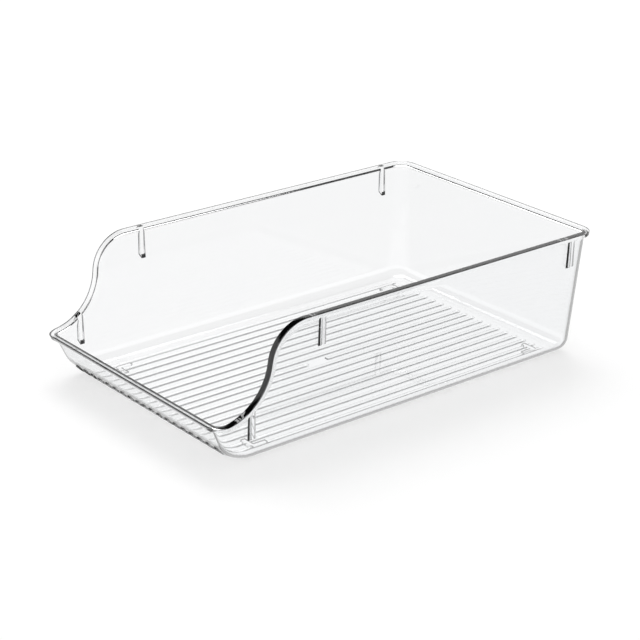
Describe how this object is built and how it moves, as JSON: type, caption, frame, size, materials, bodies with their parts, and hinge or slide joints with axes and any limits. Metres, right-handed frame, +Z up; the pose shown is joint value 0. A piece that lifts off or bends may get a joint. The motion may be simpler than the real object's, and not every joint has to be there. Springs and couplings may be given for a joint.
{
  "type": "can organizer tray",
  "caption": "Open clear plastic tray with ribs under its floor, a low sloped front, side walls that dip in an S curve to it, a flat rim, nesting lugs and corner feet.",
  "frame": {"origin": "on the table, under the middle of the tray's outer box", "axes": "+Z up, +Y from the low front to the high back, +X to the right seen from the front"},
  "size_m": [0.225, 0.362, 0.103],
  "materials": {
    "clear_plastic": "clear, polished"
  },
  "bodies": {
    "root": {"floor_panel": "clear_plastic", "left_floor_edge": "clear_plastic", "right_floor_edge": "clear_plastic", "front_floor_edge": "clear_plastic", "rear_floor_edge": "clear_plastic", "front_wall": "clear_plastic", "rear_wall": "clear_plastic", "left_wall": "clear_plastic", "right_wall": "clear_plastic", "front_rim": "clear_plastic", "rear_rim": "clear_plastic", "left_rim": "clear_plastic", "right_rim": "clear_plastic", "left_front_lug": "clear_plastic", "left_middle_lug": "clear_plastic", "left_rear_lug": "clear_plastic", "right_front_lug": "clear_plastic", "right_middle_lug": "clear_plastic", "right_rear_lug": "clear_plastic", "left_front_foot": "clear_plastic", "left_rear_foot": "clear_plastic", "right_front_foot": "clear_plastic", "right_rear_foot": "clear_plastic"}
  },
  "joints": []
}
